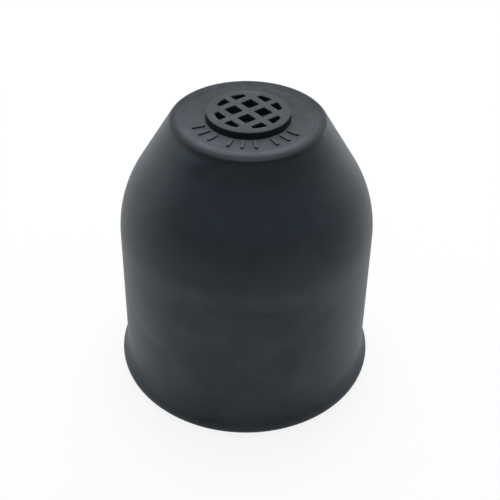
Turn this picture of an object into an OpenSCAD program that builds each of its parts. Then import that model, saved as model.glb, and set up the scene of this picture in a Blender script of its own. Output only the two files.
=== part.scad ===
// Push-on cover for a towing ball: one rubber moulding, open at the bottom.
// Sizes are in millimetres. +Z is up, the Z axis is the ball's axis, and the
// rim stands on Z = 0. The marks on the face are on the -Y side.

/* [Ball] */
// Bore of the cover, the diameter of the ball that it is pushed onto
bore_d = 50; // [44:0.5:56]
// How far the ball's flat top lies below a full ball's
ball_flat = 1; // [0:0.25:2]

/* [Shell] */
// Thickness of the wall round the ball
wall = 2.8; // [2:0.1:4]
// Thickness of the roof under the face
roof = 3.2; // [2:0.1:5]
// Height of the flat face above the rim
face_z = 64; // [50:0.5:80]
// Slope of the shoulder, measured from upright in degrees
shoulder_a = 31; // [26:0.5:33]
// Rounding of the face's outer edge
edge_r = 1.3; // [0.5:0.1:3]
// Rounding inside, between the roof and the shoulder
roof_r = 3; // [1:0.25:6]
// How much wider in radius the wall is at the neck than at the ball's centre
draft = 0.25; // [0.05:0.05:0.6]

/* [Rim] */
// Hollow radius of the neck above the rim
neck_r = 7.5; // [4:0.5:12]
// How far the neck flares from upright in degrees
flare_a = 28; // [15:1:40]
// Length of the straight run between the neck and the rim's rounding
flare_l = 0.5; // [0.2:0.1:2]
// Rounding of the rim's outer edge
rim_r = 2.2; // [1:0.1:2.6]
// Diameter of the mouth, a little wider than the bore
mouth_d = 52; // [51:0.25:53]
// Height at which the widening of the mouth ends
mouth_h = 7; // [3:0.5:12]
// Rounding of the mouth's edge
mouth_r = 0.4; // [0.2:0.05:0.6]

/* [Face line] */
// How far the fine line round the face lies from the face's edge
line_inset = 2.3; // [1.8:0.1:3]
// Width of the line at the surface
line_w = 0.5; // [0.2:0.05:0.8]
// Depth of the line
line_d = 0.2; // [0.1:0.05:0.4]

/* [Badge] */
// Diameter of the raised round badge at its top
badge_d = 17.2; // [14:0.1:18]
// Height of the badge above the face
badge_h = 1.5; // [0.8:0.1:2.5]
// Width of the badge's ring
ring_w = 1.6; // [1:0.05:2.5]
// Width of the ribs that cross inside the ring
rib_w = 1.5; // [0.6:0.05:2]
// Distance between the middles of neighbouring ribs
rib_pitch = 4.3; // [2.5:0.1:5]
// Ribs in each of the two directions
rib_n = 3; // [1:1:5]
// Softening of the badge's upper edges
badge_r = 0.3; // [0.1:0.05:0.4]
// Slope of the badge's sides in degrees
badge_a = 6; // [2:1:14]

/* [Marks] */
// Groups of raised marks on the face
group_n = 3; // [1:1:4]
// Marks in a group
mark_n = 3; // [1:1:3]
// Angle between neighbouring groups in degrees
group_step = 48; // [44:1:54]
// Angle between neighbouring marks in degrees
mark_step = 13.5; // [10:0.5:15]
// Gap between the badge's foot and the marks
mark_gap = 0.7; // [0.5:0.1:1]
// Length of a mark, outwards
mark_l = 2.8; // [1.2:0.1:3]
// Width of a mark
mark_w = 0.75; // [0.4:0.05:1]
// Height of a mark above the face
mark_h = 0.35; // [0.15:0.05:0.6]

/* [Hidden] */

// Largest angle between neighbouring points of a round stretch, and of a soft edge
arc_step = 6;
edge_step = 30;
// How deep the raised work reaches into the face that carries it
root = 0.5;

rubber = [0.19, 0.2, 0.21];
bore_r = bore_d / 2;
wall_r = bore_r + wall;
roof_z = face_z - roof;
// The ball's flat top seats against the roof, which places the ball's centre
ball_z = roof_z - (bore_r - ball_flat);
face_r = top_r(wall_r, face_z);
line_r = face_r - line_inset;
badge_foot_r = badge_d / 2 + badge_h * tan(badge_a);
neck_wall_r = wall_r + draft;
// The neck's hollow starts here and ends at the middle of the rim's rounding
neck_z = (neck_r + rim_r) * sin(flare_a) + flare_l * cos(flare_a) + rim_r;
rim_mid_r = neck_wall_r + neck_r * (1 - cos(flare_a)) + flare_l * sin(flare_a)
    - rim_r * cos(flare_a);

// Points round a centre from angle a to angle b, both ends included
function arc(centre, r, a, b, step = arc_step) =
    let (n = ceil(abs(b - a) / step))
    [for (i = [0 : n]) let (t = a + (b - a) * i / n) centre + r * [cos(t), sin(t)]];

// The same points the other way round
function turned(points) = [for (i = [len(points) - 1 : -1 : 0]) points[i]];

// Radius at which a shoulder that leaves a dome of radius r tangentially
// reaches the height z
function top_r(r, z) = (r - (z - ball_z) * sin(shoulder_a)) / cos(shoulder_a);

// Outline of a cap, from its flat top to the ball's centre: a rounded edge,
// the shoulder and the dome that the shoulder touches
function cap_line(r, z, round_r) = concat(
    arc([top_r(r, z) - round_r * tan(45 - shoulder_a / 2), z - round_r],
        round_r, 90, shoulder_a),
    arc([0, ball_z], r, shoulder_a, 0));

// Outline of the skirt, from the neck down to the rim's underside
function skirt_line() = concat(
    arc([neck_wall_r + neck_r, neck_z], neck_r, 180, 180 + flare_a),
    arc([rim_mid_r, rim_r], rim_r, flare_a, -90));

// The fine line is a vee in the face
function face_groove() = [
    [line_r - line_w / 2, face_z],
    [line_r, face_z - line_d],
    [line_r + line_w / 2, face_z]];

// Outline of the cavity, from the mouth's edge up to the roof
function cavity_line() = concat(
    arc([mouth_d / 2 + mouth_r, mouth_r], mouth_r, 270, 180),
    [[bore_r, mouth_h]],
    turned(cap_line(bore_r, roof_z, roof_r)),
    [[0, roof_z]]);

// The turned shell, with the ball's seat inside
module shell() {
    color(rubber)
        rotate_extrude($fn = 180)
            polygon(concat([[0, face_z]], face_groove(),
                cap_line(wall_r, face_z, edge_r), skirt_line(), cavity_line()));
}

// One side of a raised wall that is w wide at its top, from the middle of the
// wall: a sloped side from the root up, then a soft edge
function side_line(w) =
    let (top = arc([w / 2 - badge_r, badge_h - badge_r], badge_r, badge_a, 90, edge_step))
    concat([[top[0][0] + (top[0][1] + root) * tan(badge_a), -root]], top);

// Whole section of a raised wall
function wall_section(w) = concat(side_line(w), [for (p = turned(side_line(w))) [-p[0], p[1]]]);

// The badge's ring
module ring() {
    translate([0, 0, face_z])
        rotate_extrude($fn = 120)
            translate([badge_d / 2 - ring_w / 2, 0])
                polygon(wall_section(ring_w));
}

// One straight rib through the badge, its middle at a distance from the centre
module rib(offset_y) {
    translate([-badge_d / 2, offset_y, face_z])
        rotate([90, 0, 90])
            linear_extrude(badge_d)
                polygon(wall_section(rib_w));
}

// Ribs that cross inside the ring and end in its middle
module ribs() {
    intersection() {
        for (a = [45, 135], i = [0 : rib_n - 1])
            rotate([0, 0, a])
                rib((i - (rib_n - 1) / 2) * rib_pitch);
        translate([0, 0, face_z - root])
            cylinder(h = badge_h + 2 * root, r = (badge_d - ring_w) / 2, $fn = 120);
    }
}

module badge() {
    color(rubber) {
        ring();
        ribs();
    }
}

// One raised mark with round ends, lying outwards along -Y
module mark() {
    translate([0, -(badge_foot_r + mark_gap + mark_l / 2), face_z - root])
        linear_extrude(mark_h + root) {
            square([mark_w, mark_l - mark_w], center = true);
            for (side = [-1, 1])
                translate([0, side * (mark_l - mark_w) / 2])
                    circle(d = mark_w, $fn = 24);
        }
}

// The groups of marks in front of the badge
module marks() {
    color(rubber)
        for (g = [0 : group_n - 1], m = [0 : mark_n - 1])
            rotate([0, 0, (g - (group_n - 1) / 2) * group_step + (m - (mark_n - 1) / 2) * mark_step])
                mark();
}

module cover() {
    shell();
    badge();
    marks();
}

cover();
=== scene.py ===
# Tow ball cover: one satin rubber moulding, standing on its rim on a pale floor
import math
import bmesh
import bpy
from mathutils import Matrix, Vector


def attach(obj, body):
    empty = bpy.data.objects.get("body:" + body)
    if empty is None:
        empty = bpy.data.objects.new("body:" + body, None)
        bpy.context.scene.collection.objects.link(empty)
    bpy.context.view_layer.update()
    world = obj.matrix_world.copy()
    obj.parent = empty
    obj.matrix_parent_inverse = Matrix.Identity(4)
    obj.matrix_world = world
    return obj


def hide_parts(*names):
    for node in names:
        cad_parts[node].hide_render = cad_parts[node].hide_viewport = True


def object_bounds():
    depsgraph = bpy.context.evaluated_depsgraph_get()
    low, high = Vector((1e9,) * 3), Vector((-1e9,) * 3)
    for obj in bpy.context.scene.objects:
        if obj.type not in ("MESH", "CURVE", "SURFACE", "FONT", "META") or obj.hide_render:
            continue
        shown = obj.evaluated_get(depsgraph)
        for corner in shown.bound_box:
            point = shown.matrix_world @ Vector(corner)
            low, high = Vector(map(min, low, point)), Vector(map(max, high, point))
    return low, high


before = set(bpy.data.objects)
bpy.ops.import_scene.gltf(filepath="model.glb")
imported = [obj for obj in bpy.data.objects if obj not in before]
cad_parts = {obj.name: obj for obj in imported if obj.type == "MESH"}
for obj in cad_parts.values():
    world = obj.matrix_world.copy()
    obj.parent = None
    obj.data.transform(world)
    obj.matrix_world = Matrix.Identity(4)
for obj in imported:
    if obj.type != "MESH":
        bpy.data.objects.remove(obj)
cadLow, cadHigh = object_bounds()
print("frame loaded, box", [round(v, 4) for v in (*cadLow, *cadHigh)])

mm = 0.001

# The turned wall, in metres and degrees; its heights hang from the top of the CAD box
shellShape = {
    "boreR": 25 * mm,
    "wall": 2.8 * mm,
    "roof": 3.2 * mm,
    "ballFlat": 1 * mm,
    "shoulderAngle": 31,
    "edgeRound": 1.3 * mm,
    "roofRound": 3 * mm,
    "draft": 0.25 * mm,
    "neckRound": 7.5 * mm,
    "flareAngle": 28,
    "flareLength": 0.5 * mm,
    "rimRound": 2.2 * mm,
    "mouthR": 26 * mm,
    "mouthHeight": 7 * mm,
    "mouthRound": 0.4 * mm,
    "lineInset": 2.3 * mm,  # the fine line round the flat face
    "lineWidth": 0.5 * mm,
    "lineDepth": 0.11 * mm,
    "around": 240,  # steps of the spin
    "arcStep": 3.0,  # degrees between points of a round stretch
    "longest": 1.6 * mm,  # between points of a straight stretch
}

# The relief on the flat face
badgeShape = {
    "topR": 8.6 * mm,
    "height": 1.5 * mm,
    "ringWidth": 1.6 * mm,
    "ribWidth": 1.5 * mm,
    "ribPitch": 4.3 * mm,
    "ribs": 3,  # in each direction
    "ribTurn": 45.0,
    "slope": 6.0,  # degrees that the sides lean
    "leastFloor": 0.6,  # share of a pocket's width that its floor keeps
    "softEdge": 0.2 * mm,
    "softCorner": 0.25 * mm,
    "softFoot": 0.15 * mm,
}

markShape = {
    "groups": 3,
    "each": 3,
    "groupStep": 48.0,
    "step": 13.5,
    "gap": 0.7 * mm,
    "length": 2.8 * mm,
    "width": 0.75 * mm,
    "height": 0.35 * mm,
    "corners": 24,  # round both ends together
    "softEdge": 0.12 * mm,
    "softFoot": 0.08 * mm,
    "offBadge": 0.8 * mm,  # the marks' feet lie further out than this from the badge's top edge
    "offLine": 0.05 * mm,  # and further in than this from the fine line
}

# What the mesh work counts as the same place and as a bend
meshFit = {
    "same": 1e-6,
    "seam": 4e-6,  # where the flat face meets the spun shell
    "noLength": 1e-7,
    "onCut": 0.03 * mm,  # from the plane that cuts along a rib
    "firstInset": 1 * mm,  # before the disc gets its own size
    "bend": 40,  # degrees
    "cornerBend": 25,
}

faceZ = cadHigh.z - badgeShape["height"]
roofZ = faceZ - shellShape["roof"]
ballZ = roofZ - (shellShape["boreR"] - shellShape["ballFlat"])
wallR = shellShape["boreR"] + shellShape["wall"]
badgeLean = badgeShape["height"] * math.tan(math.radians(badgeShape["slope"]))  # wider at the foot by this
plugDepth = 0.5 * mm  # of the disc that carries the relief until it is welded in


def roundStretch(centreR, centreZ, radius, start, end):
    # points of an arc in the section, both ends included
    steps = max(2, math.ceil(abs(end - start) / shellShape["arcStep"]))
    turns = [math.radians(start + (end - start) * i / steps) for i in range(steps + 1)]
    return [(centreR + radius * math.cos(t), centreZ + radius * math.sin(t)) for t in turns]


def topRadius(radius, height):
    # where a shoulder that leaves a dome of that radius reaches the height
    lean = math.radians(shellShape["shoulderAngle"])
    return (radius - (height - ballZ) * math.sin(lean)) / math.cos(lean)


def capLine(radius, height, softness):
    # rounded edge of the flat top, shoulder, and the dome that it touches
    lean = shellShape["shoulderAngle"]
    tangent = softness * math.tan(math.radians(45 - lean / 2))
    edge = roundStretch(topRadius(radius, height) - tangent, height - softness, softness, 90, lean)
    return edge + roundStretch(0, ballZ, radius, lean, 0)


def skirtLine():
    # hollow neck, flare and rolled rim
    flare, neck, rim = (shellShape[k] for k in ("flareAngle", "neckRound", "rimRound"))
    rise, run = math.sin(math.radians(flare)), math.cos(math.radians(flare))
    neckR = wallR + shellShape["draft"]
    neckZ = (neck + rim) * rise + shellShape["flareLength"] * run + rim
    rimR = neckR + neck * (1 - run) + shellShape["flareLength"] * rise - rim * run
    hollow = roundStretch(neckR + neck, neckZ, neck, 180, 180 + flare)
    return hollow + roundStretch(rimR, rim, rim, flare, -90)


def cavityLine():
    # mouth, bore, dome and roof
    lip = shellShape["mouthRound"]
    mouth = roundStretch(shellShape["mouthR"] + lip, lip, lip, 270, 180)
    inside = capLine(shellShape["boreR"], roofZ, shellShape["roofRound"])[::-1]
    return mouth + [(shellShape["boreR"], shellShape["mouthHeight"])] + inside + [(0, roofZ)]


def lineRadii():
    # inner edge, bottom and outer edge of the fine line
    middle = topRadius(wallR, faceZ) - shellShape["lineInset"]
    half = shellShape["lineWidth"] / 2
    return middle - half, middle, middle + half


def spreadPoints(points, longest):
    # extra points on straight runs, so that no face is long and thin
    out = [points[0]]
    for a, b in zip(points, points[1:]):
        n = max(1, math.ceil(math.dist(a, b) / longest))
        out += [(a[0] + (b[0] - a[0]) * i / n, a[1] + (b[1] - a[1]) * i / n) for i in range(1, n + 1)]
    return out


def turnedShell():
    # everything outside the fine line, and the inside, spun in one turn
    inner, middle, outer = lineRadii()
    outline = [(inner, faceZ), (middle, faceZ - shellShape["lineDepth"]), (outer, faceZ)]
    outline += capLine(wallR, faceZ, shellShape["edgeRound"]) + skirtLine() + cavityLine()
    outline = spreadPoints(outline, shellShape["longest"])
    bm = bmesh.new()
    points = [bm.verts.new((r, 0, z)) for r, z in outline]
    for a, b in zip(points, points[1:]):
        bm.edges.new((a, b))
    bmesh.ops.spin(bm, geom=bm.verts[:] + bm.edges[:], cent=(0, 0, 0), axis=(0, 0, 1), angle=math.tau,
                   steps=shellShape["around"], use_merge=True)
    bmesh.ops.remove_doubles(bm, verts=bm.verts, dist=meshFit["same"])
    return bm


def meshObject(name, bm):
    mesh = bpy.data.meshes.new(name)
    bm.to_mesh(mesh)
    bm.free()
    thing = bpy.data.objects.new(name, mesh)
    bpy.context.scene.collection.objects.link(thing)
    return thing


def addTo(bm, other):
    # moves all of one bmesh into another
    mesh = bpy.data.meshes.new("moved")
    other.to_mesh(mesh)
    other.free()
    bm.from_mesh(mesh)
    bpy.data.meshes.remove(mesh)


def only(kind, parts):
    return [part for part in parts if isinstance(part, kind)]


def spaced(count, step):
    # places of an even row with its middle at nought
    return [(i - (count - 1) / 2) * step for i in range(count)]


def faceNormals(bm):
    bm.normal_update()
    bmesh.ops.recalc_face_normals(bm, faces=bm.faces)


def soften(bm, edges, offset, segments=3):
    bmesh.ops.bevel(bm, geom=edges, offset=offset, offset_type="OFFSET", segments=segments, profile=0.5,
                    affect="EDGES", clamp_overlap=True, material=-1)


def bentEdges(bm, height, reach, start=0.0):
    # edges with a bend at one height, between two distances from the axis
    found = []
    for edge in bm.edges:
        level = all(abs(v.co.z - height) < meshFit["same"] for v in edge.verts)
        near = all(start <= v.co.xy.length < reach for v in edge.verts)
        if level and near and edge.calc_face_angle(0) > math.radians(meshFit["bend"]):
            found.append(edge)
    return found


def ribLines():
    # the direction across each rib, and how far along it the rib's middle lies
    for turn in (badgeShape["ribTurn"], badgeShape["ribTurn"] + 90):
        across = Vector((-math.sin(math.radians(turn)), math.cos(math.radians(turn)), 0))
        for middle in spaced(badgeShape["ribs"], badgeShape["ribPitch"]):
            yield across, middle


def inRib(place):
    # whether a place on the badge belongs to one of its crossing ribs
    half = badgeShape["ribWidth"] / 2
    return any(abs(across.dot(place) - middle) < half for across, middle in ribLines())


def cutRibs(bm, disc):
    # the ribs' edges as straight cuts across the disc inside the ring
    lattice = [disc]
    for across, middle in ribLines():
        for side in (-1, 1):
            place = across * (middle + side * badgeShape["ribWidth"] / 2)
            edges = [e for f in lattice for e in f.edges]
            corners = [v for f in lattice for v in f.verts]
            cut = bmesh.ops.bisect_plane(bm, geom=list({*lattice, *edges, *corners}), dist=meshFit["onCut"],
                                         plane_co=place, plane_no=across)
            lattice = only(bmesh.types.BMFace, cut["geom"])
    return lattice


def sizeDisc(bm, disc, radius):
    now = max(v.co.xy.length for v in disc.verts)
    bmesh.ops.scale(bm, vec=(radius / now, radius / now, 1), verts=disc.verts)


def raiseBadge(bm, face):
    # foot, wall and ring from one disc, then ribs with sunk pockets between them
    height, topR = badgeShape["height"], badgeShape["topR"]
    bmesh.ops.inset_region(bm, faces=[face], thickness=meshFit["firstInset"], use_even_offset=True)
    sizeDisc(bm, face, topR + badgeLean)
    top = bmesh.ops.extrude_discrete_faces(bm, faces=[face])["faces"][0]
    bmesh.ops.translate(bm, verts=top.verts, vec=(0, 0, height))
    sizeDisc(bm, top, topR)
    bmesh.ops.inset_region(bm, faces=[top], thickness=meshFit["firstInset"], use_even_offset=True)
    sizeDisc(bm, top, topR - badgeShape["ringWidth"])
    pockets = [cell for cell in cutRibs(bm, top) if not inRib(cell.calc_center_median())]
    floors = bmesh.ops.extrude_discrete_faces(bm, faces=pockets)["faces"]
    for floor in floors:
        c = floor.calc_center_median()
        reach = max((v.co - c).length for v in floor.verts)
        bmesh.ops.translate(bm, verts=floor.verts, vec=(0, 0, -height))
        k = max(badgeShape["leastFloor"], 1 - badgeLean / reach)
        bmesh.ops.scale(bm, vec=(k, k, 1), space=Matrix.Translation((-c.x, -c.y, 0)), verts=floor.verts)
    print("badge raised with", len(floors), "pockets")


def softenBadge(bm):
    # soft corners inside the pockets, then soft rims, feet and floors
    height, topR = badgeShape["height"], badgeShape["topR"]
    inner = topR - badgeShape["ringWidth"] / 2
    faceNormals(bm)
    corners = []
    for edge in bm.edges:
        a, b = edge.verts
        upright = abs(a.co.z - b.co.z) > height / 2 and a.co.xy.length < inner
        if upright and edge.calc_face_angle(0) > math.radians(meshFit["cornerBend"]):
            corners.append(edge)
    soften(bm, corners, badgeShape["softCorner"])
    soften(bm, bentEdges(bm, faceZ + height, topR + badgeLean), badgeShape["softEdge"])
    soften(bm, bentEdges(bm, faceZ, topR + 2 * badgeLean), badgeShape["softFoot"], segments=2)


def facePlug():
    # the face inside the fine line as a thin plug that carries the badge
    bm = bmesh.new()
    bmesh.ops.create_circle(bm, cap_ends=True, segments=shellShape["around"], radius=lineRadii()[0],
                            matrix=Matrix.Translation((0, 0, faceZ - plugDepth)))
    up = bmesh.ops.extrude_face_region(bm, geom=bm.faces[:])["geom"]
    bmesh.ops.translate(bm, verts=only(bmesh.types.BMVert, up), vec=(0, 0, plugDepth))
    raiseBadge(bm, only(bmesh.types.BMFace, up)[0])
    softenBadge(bm)
    faceNormals(bm)
    return bm


def singleMark():
    # a short round-ended bar that stands on the axis, with room below to sink into the plug
    bm = bmesh.new()
    bmesh.ops.create_circle(bm, cap_ends=True, segments=markShape["corners"], radius=markShape["width"] / 2,
                            matrix=Matrix.Rotation(math.pi / markShape["corners"], 4, "Z"))
    stretch = (markShape["length"] - markShape["width"]) / 2
    for side in (-1, 1):
        half = [v for v in bm.verts if v.co.y * side > 0]
        bmesh.ops.translate(bm, verts=half, vec=(0, side * stretch, 0))
    up = bmesh.ops.extrude_face_region(bm, geom=bm.faces[:])["geom"]
    top = only(bmesh.types.BMVert, up)
    bmesh.ops.translate(bm, verts=top, vec=(0, 0, plugDepth / 2 + markShape["height"]))
    faceNormals(bm)
    crest = [e for e in bm.edges if all(v in top for v in e.verts)]
    soften(bm, crest, markShape["softEdge"])
    return bm


def raisedMarks():
    # the marks in groups, in an arc in front of the badge
    middle = badgeShape["topR"] + badgeLean + markShape["gap"] + markShape["length"] / 2
    bm = bmesh.new()
    for groupTurn in spaced(markShape["groups"], markShape["groupStep"]):
        for ownTurn in spaced(markShape["each"], markShape["step"]):
            mark = singleMark()
            turn = Matrix.Rotation(math.radians(groupTurn + ownTurn), 3, "Z")
            bmesh.ops.translate(mark, verts=mark.verts, vec=(0, -middle, faceZ - plugDepth / 2))
            bmesh.ops.rotate(mark, verts=mark.verts, cent=(0, 0, 0), matrix=turn)
            addTo(bm, mark)
    return bm


def fused(base, tool):
    # both closed shapes as one closed mesh, in a new bmesh
    join = base.modifiers.new("join", "BOOLEAN")
    join.operation = "UNION"
    join.solver = "EXACT"
    join.object = tool
    bpy.context.view_layer.update()
    mesh = bpy.data.meshes.new_from_object(base.evaluated_get(bpy.context.evaluated_depsgraph_get()))
    bm = bmesh.new()
    bm.from_mesh(mesh)
    for thing in (base, tool):
        data = thing.data
        bpy.data.objects.remove(thing)
        bpy.data.meshes.remove(data)
    bpy.data.meshes.remove(mesh)
    return bm


def reliefFace():
    # the flat face with its badge and marks, open underneath
    plug = fused(meshObject("plug", facePlug()), meshObject("marks", raisedMarks()))
    faceNormals(plug)
    start = badgeShape["topR"] + markShape["offBadge"]
    feet = bentEdges(plug, faceZ, lineRadii()[0] - markShape["offLine"], start)
    soften(plug, feet, markShape["softFoot"], segments=2)
    hidden = [f for f in plug.faces if f.calc_center_median().z < faceZ - plugDepth / 3]
    bmesh.ops.delete(plug, geom=hidden, context="FACES")
    return plug


def buildCover():
    shell = turnedShell()
    addTo(shell, reliefFace())
    rims = [v for v in shell.verts if v.is_boundary]
    bmesh.ops.remove_doubles(shell, verts=rims, dist=meshFit["seam"])
    bmesh.ops.dissolve_degenerate(shell, dist=meshFit["noLength"], edges=shell.edges)
    bmesh.ops.recalc_face_normals(shell, faces=shell.faces)
    loose = [e for e in shell.edges if len(e.link_faces) != 2]
    print("open edges", len(loose), "faces", len(shell.faces))
    made = meshObject("rubberCover", shell)
    made.data.shade_smooth()
    made.data.set_sharp_from_angle(angle=math.radians(meshFit["bend"]))
    shading = made.modifiers.new("evenShading", "WEIGHTED_NORMAL")
    shading.keep_sharp = True
    return made


cover = buildCover()
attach(cover, "root")
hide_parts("cover")
print("cover built")


# Satin moulded rubber: deep grey under a thin pale film that handling has smudged, with painted light and
# painted shade laid into the same film
rubberLook = {
    "plain": (0.0028, 0.0045, 0.0062),
    "filmAndPaintedLight": (0.043, 0.059, 0.069),
    "topDustAndLight": (0.206, 0.204, 0.214),  # dustier on the flat face, and paler still as painted light on the top
    "glint": (0.868, 0.943, 1.0),
    "specular": 0.372,
    "roughness": 0.42,  # least of all, then what each of these gains
    "grainDull": 0.04,
    "filmDull": 0.06,
    "topDull": 0.22,
    "sideDull": 0.45,  # on the sides of the relief
    "lowerFilm": 0.17,  # share of the film below the dome, then what the dome and its top edge change
    "domeFilm": 0.08,
    "domeHeights": (38 * mm, 45 * mm),
    "edgeFilm": -0.09,
    "edgeHeights": (58 * mm, 61 * mm),
    "edgeEnds": (faceZ - 0.6 * mm, faceZ - 0.1 * mm),
    "rimShadeHeights": (0.8 * mm, 3 * mm),  # where the film starts above the rim; the foot below stays dark as painted shade
    "bandHighlight": 0.10,  # painted highlight: a paler band where the dome meets the wall
    "bandHeight": 37.5 * mm,
    "bandHalf": (4 * mm, 0.5 * mm),  # from its middle, where it is gone and where it is full
    "cloudShare": 0.10,
    "cloudScale": 62.0,
    "mottleShare": 0.06,
    "mottleScale": 330.0,
    "patchRange": (0.35, 0.65),  # of the noise that the clouds and the mottle use
    "patchDetail": 3,
    "rubShare": 0.12,
    "rubScale": 105.0,
    "rubRange": (0.38, 0.64),
    "rubDetail": 4,
    "rubFlat": 1.4,  # how much longer than high the rub marks are
    "rubHeights": (40 * mm, 36 * mm),
    "warp": 4.5,  # mm that the smudges are shaken
    "warpScale": 170.0,
    "warpDetail": 3,
    "grainScale": 5200.0,
    "grainDetail": 2,
    "grainDepth": 0.003 * mm,
    "grainBump": 0.35,
    "waveScale": 170.0,
    "waveDetail": 1,
    "waveDepth": 0.02 * mm,
    "waveBump": 0.5,
}

# Dust on the flat face and its relief, with the painted light and painted shade laid over them
dustAndPaintedLight = {
    "onFace": (faceZ - 0.5 * mm, faceZ + markShape["height"] + 0.1 * mm),
    "onTop": (faceZ - 0.3 * mm, faceZ - 0.01 * mm),
    "front": 0.12,  # painted light that the face gains in front, and painted shade at the back
    "back": -0.16,
    "frontToBack": (-16 * mm, 16 * mm),
    "line": 0.25,  # painted highlight on the inner side of the fine line, in front
    "linePlaces": (-2 * mm, -9 * mm),
    "edgeShadeRadii": (14.1 * mm, 15.5 * mm),  # painted shade at the face's rounded edge: where it starts and where it is full
    "edgeShadeHeights": (faceZ - 1.2 * mm, faceZ - 0.5 * mm),
    "edgeShadeFront": 0.92,  # film taken away there as painted shade, in front and at the back
    "edgeShadeBack": 0.3,
    "edgeShadePlaces": (-10 * mm, 6 * mm),
    "sunkHeights": (faceZ - 0.1 * mm, faceZ + badgeShape["height"] - 0.15 * mm),  # painted shade, with no film, on the badge's pockets and wall
    "sunkR": badgeShape["topR"] + 0.25 * mm,
    "sideHeights": (faceZ + 0.03 * mm, faceZ + markShape["height"] - 0.07 * mm),  # painted shade, with no film, on the sides of the marks
}

# Smudges, mixed with patches of painted light and painted shade: mm round the wall from the front, mm up,
# half length, half width, slant in degrees, film
smudgesAndLightPatches = [
    (-7.6, 38.2, 5.5, 2.6, -4, 0.14),
    (8, 37.2, 13, 2.8, -6, 0.08),
    (-12.6, 31.6, 6.0, 2.6, 65, -0.15),
    (-13.2, 24.2, 5.5, 2.4, -58, -0.15),
    (-8.8, 29.6, 4.8, 2.0, -3, -0.10),
    (-17.5, 48.8, 8.0, 5.0, 30, -0.02),
    (21.4, 29.6, 7.5, 3.2, 14, -0.25),
    (21.6, 22.0, 6.5, 3.0, 28, -0.23),
    (13.3, 20.4, 4.0, 4.4, 0, -0.15),
    (7.4, 34.4, 6.5, 1.8, -19, -0.12),
    (-23, 21.8, 10, 2.8, -12, 0.36),
    (-20, 17.6, 8, 2.4, -4, -0.20),
    (-28, 10.8, 8.0, 5.5, 0, 0.34),
    (-11, 13.6, 5.5, 2.6, -60, 0.15),
    (15.6, 12.4, 7.0, 4.5, 20, 0.12),
    (25, 47.0, 12, 6.0, 46, -0.10),
    (-27, 22, 14, 15, 0, 0.34),
    (29, 33, 13, 9, 0, 0.28),
    (31, 22, 11, 9, 0, 0.18),
    (34, 10, 8, 4, 0, -0.18),
    (-29, 5.0, 16, 4.5, 0, 0.34),
    (-15, 4.2, 12, 4.0, 0, 0.26),
    (10, 4.2, 9, 3.5, 0, 0.02),
    (27, 5.0, 15, 4.5, 0, 0.17),
    (-29, 54, 8, 5.5, 0, -0.12),
    (35, 52.5, 7, 6.5, 0, -0.10),
    (-18.5, 62.2, 8, 1.6, 0, 0.25),
    (36, 38, 5, 9, 0, 0.2),
    (-31, 27, 6, 18, 0, 0.14),
    (-3.4, 17, 6, 5, 0, 0.06),
]
spotCore = 0.15  # share of its half size inside which each spot is full


def placed(tree, kind, sockets, **settings):
    # a node with its settings, and a plain value or a link for each socket named
    node = tree.nodes.new(kind)
    for name, value in settings.items():
        setattr(node, name, value)
    for name, value in sockets.items():
        if isinstance(value, bpy.types.NodeSocket):
            tree.links.new(value, node.inputs[name])
        else:
            node.inputs[name].default_value = value
    return node


def sums(tree, kind, a, b):
    return placed(tree, "ShaderNodeMath", {0: a, 1: b}, operation=kind).outputs[0]


def ranged(tree, value, limits, low=0.0, high=1.0):
    # goes softly from low at the first limit to high at the second
    sockets = {"Value": value, "From Min": limits[0], "From Max": limits[1], "To Min": low, "To Max": high}
    return placed(tree, "ShaderNodeMapRange", sockets, interpolation_type="SMOOTHSTEP").outputs["Result"]


def within(tree, value, limits):
    above, below = sums(tree, "GREATER_THAN", value, limits[0]), sums(tree, "LESS_THAN", value, limits[1])
    return sums(tree, "MULTIPLY", above, below)


def noiseOf(tree, place, name, detailName, output="Fac"):
    # noise of the rubber, by the names of its scale and its detail
    sockets = {"Vector": place, "Scale": rubberLook[name], "Detail": rubberLook[detailName]}
    return placed(tree, "ShaderNodeTexNoise", sockets).outputs[output]


def patches(tree, noise, limits):
    # noise spread from half below nought to half above
    return ranged(tree, noise, limits, -0.5, 0.5)


def blended(tree, share, first, second):
    # one colour going over into another
    sockets = {"Factor": share, "A": first, "B": second}
    return placed(tree, "ShaderNodeMix", sockets, data_type="RGBA").outputs["Result"]


def softSpot():
    # one spot of the list, which holds smudges and patches of painted light and painted shade: adds its
    # share of film inside a slanting ellipse with a soft edge
    group = bpy.data.node_groups.new("softSpot", "ShaderNodeTree")
    for name in ("Place", "Middle", "Half"):
        group.interface.new_socket(name, in_out="INPUT", socket_type="NodeSocketVector")
    for name in ("Slant", "Share", "Before"):
        group.interface.new_socket(name, in_out="INPUT", socket_type="NodeSocketFloat")
    group.interface.new_socket("FilmAndPaintedLight", in_out="OUTPUT", socket_type="NodeSocketFloat")
    given = group.nodes.new("NodeGroupInput").outputs
    away = placed(group, "ShaderNodeVectorMath", {0: given["Place"], 1: given["Middle"]},
                  operation="SUBTRACT")
    turned = placed(group, "ShaderNodeVectorRotate", {"Vector": away.outputs[0], "Angle": given["Slant"]},
                    rotation_type="Z_AXIS", invert=True)
    sized = placed(group, "ShaderNodeVectorMath", {0: turned.outputs[0], 1: given["Half"]},
                   operation="DIVIDE")
    far = placed(group, "ShaderNodeVectorMath", {0: sized.outputs[0]}, operation="LENGTH")
    spot = ranged(group, far.outputs["Value"], (1.0, spotCore))
    added = sums(group, "ADD", sums(group, "MULTIPLY", spot, given["Share"]), given["Before"])
    placed(group, "NodeGroupOutput", {"FilmAndPaintedLight": added})
    return group


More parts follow.
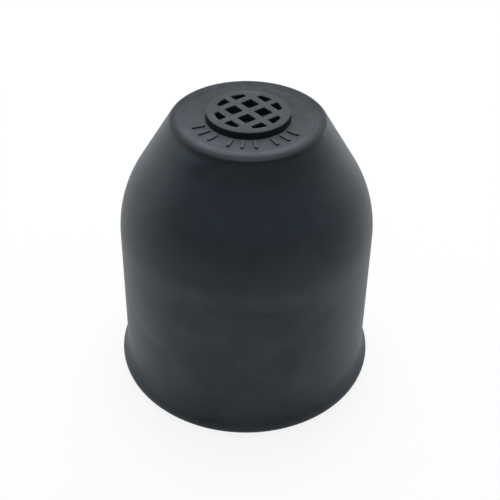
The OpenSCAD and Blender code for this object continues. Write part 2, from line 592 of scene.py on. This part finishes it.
def wallFilmAndLight(tree, place, z):
    # the film's share by height: wall, dome, the dome's top edge, the flat face, and a painted highlight
    # band where the dome meets the wall
    filmAndPaintedLight = sums(tree, "ADD", rubberLook["lowerFilm"],
                ranged(tree, z, rubberLook["domeHeights"], 0.0, rubberLook["domeFilm"]))
    filmAndPaintedLight = sums(tree, "ADD", filmAndPaintedLight, ranged(tree, z, rubberLook["edgeHeights"], 0.0, rubberLook["edgeFilm"]))
    filmAndPaintedLight = sums(tree, "ADD", filmAndPaintedLight, ranged(tree, z, rubberLook["edgeEnds"], 0.0, -rubberLook["edgeFilm"]))
    # painted highlight along the dome's foot
    offBand = sums(tree, "ABSOLUTE", sums(tree, "SUBTRACT", z, rubberLook["bandHeight"]), 0)
    band = ranged(tree, offBand, rubberLook["bandHalf"], 0.0, rubberLook["bandHighlight"])
    filmAndPaintedLight = sums(tree, "ADD", filmAndPaintedLight, band)
    for scale, share in (("cloudScale", "cloudShare"), ("mottleScale", "mottleShare")):
        uneven = patches(tree, noiseOf(tree, place, scale, "patchDetail"), rubberLook["patchRange"])
        filmAndPaintedLight = sums(tree, "ADD", filmAndPaintedLight, sums(tree, "MULTIPLY", uneven, rubberLook[share]))

    # level rub marks on the wall below the dome
    flattened = placed(tree, "ShaderNodeMapping", {"Vector": place, "Scale": (1, 1, rubberLook["rubFlat"])})
    rubs = noiseOf(tree, flattened.outputs[0], "rubScale", "rubDetail")
    rubs = patches(tree, rubs, rubberLook["rubRange"])
    lower = ranged(tree, z, rubberLook["rubHeights"], 0.0, rubberLook["rubShare"])
    return sums(tree, "ADD", filmAndPaintedLight, sums(tree, "MULTIPLY", rubs, lower))


def spottedFilmAndLight(tree, filmAndPaintedLight, place, x, y, z):
    # places on the unrolled wall in mm, shaken a little, carry the smudges and the patches of painted light
    # and painted shade
    around = sums(tree, "MULTIPLY", sums(tree, "ARCTAN2", x, sums(tree, "MULTIPLY", y, -1)), wallR / mm)
    unrolled = placed(tree, "ShaderNodeCombineXYZ", {"X": around, "Y": sums(tree, "DIVIDE", z, mm)})
    warp = rubberLook["warp"]
    shaking = noiseOf(tree, place, "warpScale", "warpDetail", "Color")
    shaken = placed(tree, "ShaderNodeVectorMath", {0: shaking, 1: (warp, warp, 0), 2: unrolled.outputs[0]},
                    operation="MULTIPLY_ADD").outputs[0]
    group = softSpot()
    for across, up, halfLong, halfWide, slant, share in smudgesAndLightPatches:
        sockets = {"Place": shaken, "Before": filmAndPaintedLight, "Slant": math.radians(slant), "Share": share}
        sockets["Middle"] = (across + warp / 2, up + warp / 2, 0)
        sockets["Half"] = (halfLong, halfWide, 1)
        filmAndPaintedLight = placed(tree, "ShaderNodeGroup", sockets, node_tree=group).outputs["FilmAndPaintedLight"]
    return filmAndPaintedLight


def paintedFaceLight(tree, y, z, outward):
    # painted light and shade: the flat face is paler in front and darker at the back, and the fine line's
    # inner side has a painted highlight in front
    spread = ranged(tree, y, dustAndPaintedLight["frontToBack"], dustAndPaintedLight["front"], dustAndPaintedLight["back"])
    inLine = sums(tree, "MULTIPLY", within(tree, outward, lineRadii()[:2]),
                  ranged(tree, y, dustAndPaintedLight["linePlaces"], 0.0, dustAndPaintedLight["line"]))
    return sums(tree, "MULTIPLY", sums(tree, "ADD", spread, inLine), within(tree, z, dustAndPaintedLight["onFace"]))


def edgeShadeShare(tree, y, z, outward):
    # painted shade: film taken off the rounded edge of the flat face, more in front than at the back
    edgeShade = ranged(tree, outward, dustAndPaintedLight["edgeShadeRadii"])
    edgeShade = sums(tree, "MULTIPLY", edgeShade, ranged(tree, z, dustAndPaintedLight["edgeShadeHeights"]))
    bySide = ranged(tree, y, dustAndPaintedLight["edgeShadePlaces"], dustAndPaintedLight["edgeShadeFront"], dustAndPaintedLight["edgeShadeBack"])
    return sums(tree, "MULTIPLY", edgeShade, bySide)


def recessShadeShare(tree, z, outward):
    # painted shade where shade falls: the badge's pockets and wall, and the sides of the marks
    onBadge = sums(tree, "LESS_THAN", outward, dustAndPaintedLight["sunkR"])
    sunk = sums(tree, "MULTIPLY", within(tree, z, dustAndPaintedLight["sunkHeights"]), onBadge)
    return sums(tree, "MAXIMUM", sunk, within(tree, z, dustAndPaintedLight["sideHeights"]))


def satinRubber():
    mat = bpy.data.materials.new("satinRubber")
    mat.use_nodes = True
    tree = mat.node_tree
    shader = tree.nodes["Principled BSDF"]
    place = tree.nodes.new("ShaderNodeTexCoord").outputs["Object"]
    x, y, z = placed(tree, "ShaderNodeSeparateXYZ", {0: place}).outputs
    flat = placed(tree, "ShaderNodeCombineXYZ", {"X": x, "Y": y}).outputs[0]
    outward = placed(tree, "ShaderNodeVectorMath", {0: flat}, operation="LENGTH").outputs["Value"]

    # the film's share carries dust and smudges, and also painted light and painted shade
    filmAndPaintedLight = spottedFilmAndLight(tree, wallFilmAndLight(tree, place, z), place, x, y, z)
    filmAndPaintedLight = sums(tree, "ADD", filmAndPaintedLight, paintedFaceLight(tree, y, z, outward))
    # the recesses and the relief's sides lose their film, as painted shade
    shadedRecess = recessShadeShare(tree, z, outward)
    filmAndPaintedLight = sums(tree, "MULTIPLY", filmAndPaintedLight, sums(tree, "SUBTRACT", 1.0, shadedRecess))
    # painted shade at the rim's foot, where it meets the floor
    filmAndPaintedLight = sums(tree, "MULTIPLY", filmAndPaintedLight, ranged(tree, z, rubberLook["rimShadeHeights"]))
    # painted shade on the flat face's rounded edge
    filmAndPaintedLight = sums(tree, "MULTIPLY", filmAndPaintedLight, sums(tree, "SUBTRACT", 1.0, edgeShadeShare(tree, y, z, outward)))
    filmAndPaintedLight.node.use_clamp = True

    # the flat top face takes a much paler colour: dust, and painted light on the top
    onTop = ranged(tree, z, dustAndPaintedLight["onTop"])
    dustAndLightColour = blended(tree, onTop, (*rubberLook["filmAndPaintedLight"], 1), (*rubberLook["topDustAndLight"], 1))
    tree.links.new(blended(tree, filmAndPaintedLight, (*rubberLook["plain"], 1), dustAndLightColour), shader.inputs["Base Color"])

    grain = noiseOf(tree, place, "grainScale", "grainDetail")
    rough = rubberLook["roughness"]
    for share, gain in ((grain, "grainDull"), (onTop, "topDull"), (shadedRecess, "sideDull"), (filmAndPaintedLight, "filmDull")):
        rough = sums(tree, "ADD", rough, sums(tree, "MULTIPLY", share, rubberLook[gain]))
    tree.links.new(rough, shader.inputs["Roughness"])
    shader.inputs["Specular IOR Level"].default_value = rubberLook["specular"]
    shader.inputs["Specular Tint"].default_value = (*rubberLook["glint"], 1)

    wave = noiseOf(tree, place, "waveScale", "waveDetail")
    uneven = placed(tree, "ShaderNodeBump", {
        "Height": wave, "Distance": rubberLook["waveDepth"], "Strength": rubberLook["waveBump"]})
    fine = placed(tree, "ShaderNodeBump", {
        "Height": grain, "Distance": rubberLook["grainDepth"], "Strength": rubberLook["grainBump"],
        "Normal": uneven.outputs["Normal"]})
    tree.links.new(fine.outputs["Normal"], shader.inputs["Normal"])
    return mat


cover.data.materials.append(satinRubber())
print("rubber made")

# The photograph's camera, from the rim's middle
cameraPlace = {
    "back": 168.26 * mm,
    "up": 161.12 * mm,
    "round": 5.6,  # degrees round the cover
    "pitch": 0.6635,  # this and the next two in radians
    "roll": 0.0186,
    "yaw": 0.005,
    "focal": 941.2,  # pixels of a frame 500 wide
    "frame": 500,
    "sensor": 36,  # mm
    "nearest": 0.01,
}

# the studio is turned with the camera
studioTurn = Matrix.Rotation(math.radians(cameraPlace["round"]), 4, "Z")


def placeCamera():
    data = bpy.data.cameras.new("camera")
    data.sensor_width = cameraPlace["sensor"]
    data.lens = cameraPlace["focal"] / cameraPlace["frame"] * data.sensor_width
    data.clip_start = cameraPlace["nearest"]
    camera = bpy.data.objects.new("camera", data)
    bpy.context.scene.collection.objects.link(camera)
    yaw, pitch, roll = (cameraPlace[k] for k in ("yaw", "pitch", "roll"))
    ahead = Vector((math.sin(yaw) * math.cos(pitch), math.cos(yaw) * math.cos(pitch), -math.sin(pitch)))
    right = Vector((math.cos(yaw), -math.sin(yaw), 0))
    up = right.cross(ahead)
    rolledRight = right * math.cos(roll) + up * math.sin(roll)
    rolledUp = up * math.cos(roll) - right * math.sin(roll)
    turn = Matrix((rolledRight, rolledUp, -ahead)).transposed()
    place = Matrix.Translation((0, -cameraPlace["back"], cameraPlace["up"])) @ turn.to_4x4()
    camera.matrix_world = studioTurn @ place
    bpy.context.scene.camera = camera


placeCamera()

# White sheets of the studio: how much of their own white a camera and a glossy ray see
studioShape = {
    "paper": (0.95, 0.915, 0.89),
    "paperRough": 0.9,
    "floorHalf": 3.0,
    "floorDrop": 0.02 * mm,  # below the rim
    "floorSeen": 0.86,
    "floorGlossy": 0.3,
    "wallAway": 0.75,
    "wallHeight": 0.5,
    "wallSpan": 150.0,  # degrees round the back
    "wallSteps": 30,
    "wallSeen": 0.86,
    "wallGlossy": 0.8,
    "reflected": (0.95, 0.99, 1.03),  # tint of the white that a glossy ray sees
}


def whiteSheet(name, seen, glossy):
    # paper that stays white in the picture and in reflections, and keeps its shadows in part
    mat = bpy.data.materials.new(name)
    mat.use_nodes = True
    tree = mat.node_tree
    paper = tree.nodes["Principled BSDF"]
    paper.inputs["Base Color"].default_value = (*studioShape["paper"], 1)
    paper.inputs["Roughness"].default_value = studioShape["paperRough"]
    rays = tree.nodes.new("ShaderNodeLightPath").outputs
    tint = blended(tree, rays["Is Glossy Ray"], (1, 1, 1, 1), (*studioShape["reflected"], 1))
    white = placed(tree, "ShaderNodeEmission", {"Color": tint})
    share = 0.0
    for ray, part in (("Is Camera Ray", seen), ("Is Glossy Ray", glossy), ("Is Transmission Ray", seen)):
        share = sums(tree, "ADD", share, sums(tree, "MULTIPLY", rays[ray], part))
    mix = placed(tree, "ShaderNodeMixShader", {0: share, 1: paper.outputs[0], 2: white.outputs[0]})
    tree.links.new(mix.outputs["Shader"], tree.nodes["Material Output"].inputs["Surface"])
    return mat


def paleFloor():
    bm = bmesh.new()
    bmesh.ops.create_grid(bm, x_segments=1, y_segments=1, size=studioShape["floorHalf"])
    bmesh.ops.translate(bm, verts=bm.verts, vec=(0, 0, cadLow.z - studioShape["floorDrop"]))
    floor = meshObject("floor", bm)
    sheet = whiteSheet("floorPaper", studioShape["floorSeen"], studioShape["floorGlossy"])
    floor.data.materials.append(sheet)


def paleBackdrop():
    # a curved white wall behind the cover
    away, height = studioShape["wallAway"], studioShape["wallHeight"]
    span, steps = studioShape["wallSpan"], studioShape["wallSteps"]
    bm = bmesh.new()
    low = []
    for i in range(steps + 1):
        turn = math.radians(90 - span / 2 + span * i / steps)
        low.append(bm.verts.new((away * math.cos(turn), away * math.sin(turn), 0)))
    lines = [bm.edges.new(pair) for pair in zip(low, low[1:])]
    up = bmesh.ops.extrude_edge_only(bm, edges=lines)["geom"]
    bmesh.ops.translate(bm, verts=only(bmesh.types.BMVert, up), vec=(0, 0, height))
    bmesh.ops.transform(bm, matrix=studioTurn, verts=bm.verts)
    wall = meshObject("backdrop", bm)
    wall.data.shade_smooth()
    sheet = whiteSheet("backdropPaper", studioShape["wallSeen"], studioShape["wallGlossy"])
    wall.data.materials.append(sheet)


paleFloor()
paleBackdrop()

lampLook = {
    "colour": (0.911, 0.975, 1.045),
    "aim": (0, 0, 0.03),
    "room": 0.36,  # strength of the even light from all sides
}

# Soft lamps: place as seen from the camera (x right, y away, z up), width and height, power
lamps = {
    "backBox": ((0, 0.56, 0.42), (0.7, 0.35), 1.1),
    "leftBox": ((-0.6, 0.1, 0.2), (0.4, 0.4), 0.4),
    "rightBox": ((0.6, 0.1, 0.2), (0.4, 0.4), 0.2),
    "lowLeftBox": ((-0.42, 0.5, 0.13), (0.25, 0.25), 0.2),
    "lowRightBox": ((0.42, 0.5, 0.13), (0.25, 0.25), 0.45),
    "topBox": ((0, 0.15, 0.9), (0.5, 0.5), 4.7),
}


def softbox(name, place, size, power):
    data = bpy.data.lights.new(name, "AREA")
    data.shape = "RECTANGLE"
    data.size, data.size_y = size
    data.energy = power
    data.color = lampLook["colour"]
    lamp = bpy.data.objects.new(name, data)
    bpy.context.scene.collection.objects.link(lamp)
    here, there = studioTurn @ Vector(place), studioTurn @ Vector(lampLook["aim"])
    lamp.location = here
    lamp.rotation_mode = "QUATERNION"
    lamp.rotation_quaternion = (there - here).to_track_quat("-Z", "Y")


for lampName, (place, size, power) in lamps.items():
    softbox(lampName, place, size, power)


def plainWorld():
    world = bpy.data.worlds.new("studio")
    bpy.context.scene.world = world
    world.use_nodes = True
    tree = world.node_tree
    room = tree.nodes["Background"]
    room.inputs["Color"].default_value = (*lampLook["colour"], 1)
    room.inputs["Strength"].default_value = lampLook["room"]
    # the camera sees white beyond the sheets, from every side
    white = placed(tree, "ShaderNodeBackground", {"Color": (1, 1, 1, 1)})
    rays = tree.nodes.new("ShaderNodeLightPath").outputs
    seen = sums(tree, "MAXIMUM", rays["Is Camera Ray"], rays["Is Transmission Ray"])
    mix = placed(tree, "ShaderNodeMixShader", {0: seen, 1: room.outputs[0], 2: white.outputs[0]})
    tree.links.new(mix.outputs[0], tree.nodes["World Output"].inputs["Surface"])


plainWorld()
bpy.context.scene.view_settings.view_transform = "Standard"
print("studio set")
